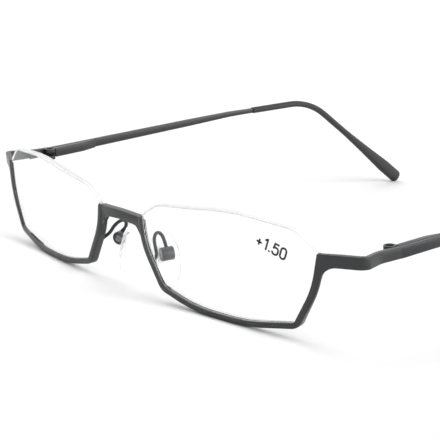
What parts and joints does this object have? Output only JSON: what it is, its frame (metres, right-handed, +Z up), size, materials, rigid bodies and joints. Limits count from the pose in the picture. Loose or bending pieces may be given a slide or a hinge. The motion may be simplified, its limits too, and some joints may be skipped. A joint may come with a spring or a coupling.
{
  "type": "half-frame reading glasses",
  "caption": "Reading glasses with thin metal half rims below clear lenses, a low bridge, soft nose pads, sprung folding temples and drooping plastic ear tips.",
  "frame": {"origin": "middle of the footprint on the floor, with the glasses open and standing on both rims and both temple tips", "axes": "+Z up, +Y back towards the ears, +X towards the wearer's left temple"},
  "size_m": [0.135, 0.1539, 0.0279],
  "materials": {
    "frame_metal": "satin charcoal coating",
    "screw_steel": "plain machined steel",
    "lens": "clear polished",
    "nylon": "clear nylon filament",
    "pad_core": "clear hard plastic",
    "silicone": "clear soft silicone",
    "tip_plastic": "matte charcoal"
  },
  "bodies": {
    "front": {"left_rim": "frame_metal", "right_rim": "frame_metal", "bridge": "frame_metal", "left_endpiece": "frame_metal", "right_endpiece": "frame_metal", "left_lens": "lens", "right_lens": "lens", "left_lens_cord": "nylon", "right_lens_cord": "nylon", "left_pad_arm": "frame_metal", "right_pad_arm": "frame_metal", "left_pad_box": "frame_metal", "right_pad_box": "frame_metal", "left_pad_screw": "screw_steel", "right_pad_screw": "screw_steel", "left_hinge_base": "frame_metal", "right_hinge_base": "frame_metal", "left_hinge_screw": "screw_steel", "right_hinge_screw": "screw_steel"},
    "left_pad": {"left_nose_pad": "silicone", "left_pad_core": "pad_core"},
    "right_pad": {"right_nose_pad": "silicone", "right_pad_core": "pad_core"},
    "left_slider": {"left_hinge_slider": "screw_steel", "left_spring_stop": "screw_steel"},
    "right_slider": {"right_hinge_slider": "screw_steel", "right_spring_stop": "screw_steel"},
    "left_arm": {"left_temple": "frame_metal", "left_temple_tip": "tip_plastic", "left_spring_housing": "frame_metal", "left_hinge_spring": "screw_steel"},
    "right_arm": {"right_temple": "frame_metal", "right_temple_tip": "tip_plastic", "right_spring_housing": "frame_metal", "right_hinge_spring": "screw_steel"}
  },
  "joints": [
    {"name": "left_fold", "type": "hinge", "parent": "front", "child": "left_slider", "pos_m": [0.0633, -0.05457, 0.01914], "axis": [0, -0.1028, 0.9947], "range_deg": [0, 90]},
    {"name": "right_fold", "type": "hinge", "parent": "front", "child": "right_slider", "pos_m": [-0.0633, -0.05457, 0.01914], "axis": [0, 0.1028, -0.9947], "range_deg": [0, 85]},
    {"name": "left_spring_slide", "type": "slide", "parent": "left_slider", "child": "left_arm", "axis": [0, 0.9947, 0.1028], "range_m": [0, 0.0009], "stiffness_N_per_m": 2000, "deforming": ["left_hinge_spring"]},
    {"name": "right_spring_slide", "type": "slide", "parent": "right_slider", "child": "right_arm", "axis": [0, 0.9947, 0.1028], "range_m": [0, 0.0009], "stiffness_N_per_m": 2000, "deforming": ["right_hinge_spring"]},
    {"name": "left_pad_rock", "type": "hinge", "parent": "front", "child": "left_pad", "pos_m": [0.0093, -0.06937, 0.00932], "axis": [0.342, 0.9317, 0.1227], "range_deg": [-10, 10]},
    {"name": "right_pad_rock", "type": "hinge", "parent": "front", "child": "right_pad", "pos_m": [-0.0093, -0.06937, 0.00932], "axis": [0.342, -0.9317, -0.1227], "range_deg": [-10, 10]}
  ]
}
